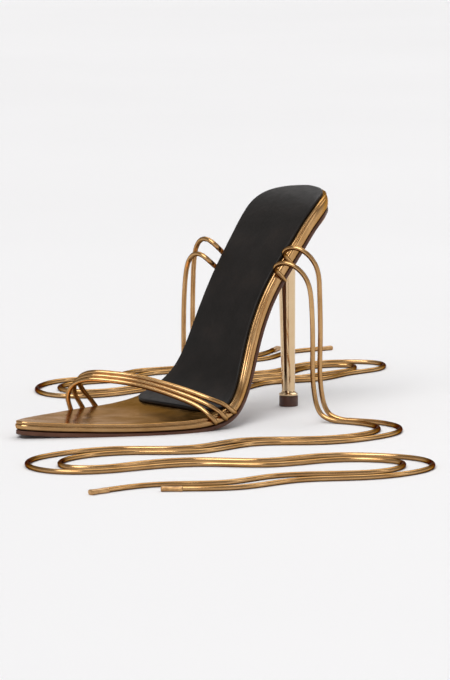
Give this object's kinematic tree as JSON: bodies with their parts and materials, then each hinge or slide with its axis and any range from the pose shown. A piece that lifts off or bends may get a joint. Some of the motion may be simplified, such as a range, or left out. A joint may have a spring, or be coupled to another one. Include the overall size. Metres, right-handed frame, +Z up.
{
  "type": "lace up heeled sandal",
  "caption": "Left lace up stiletto sandal with a pointed toe, a fanned cord strap over the toes and long round ties at the arch.",
  "frame": {"origin": "middle of the shoe's base, without its ties", "axes": "+X toward the heel, toe to -X; +Y toward the inner side of the foot; +Z up"},
  "size_m": [0.4547, 0.3851, 0.1234],
  "materials": {
    "outsole_brown": "satin brown sole sheet",
    "insole_gold": "smooth metallic gold leather",
    "sock_black": "smooth black lining",
    "gold_plate": "polished gold plating",
    "lift_brown": "dull dark brown",
    "strap_gold": "glossy metallic gold leather cord",
    "tie_gold": "glossy metallic gold leather cord",
    "tab_gold": "folded gold leather end"
  },
  "bodies": {
    "root": {"outsole": "outsole_brown", "insole_board": "insole_gold", "heel_sock": "sock_black", "heel": "gold_plate", "top_lift": "lift_brown", "toe_strap": "strap_gold", "tie_outer_rear": "tie_gold", "tie_outer_front": "tie_gold", "tie_inner_rear": "tie_gold", "tie_inner_front": "tie_gold", "tab_outer_rear": "tab_gold", "tab_outer_front": "tab_gold", "tab_inner_rear": "tab_gold", "tab_inner_front": "tab_gold"}
  },
  "joints": []
}
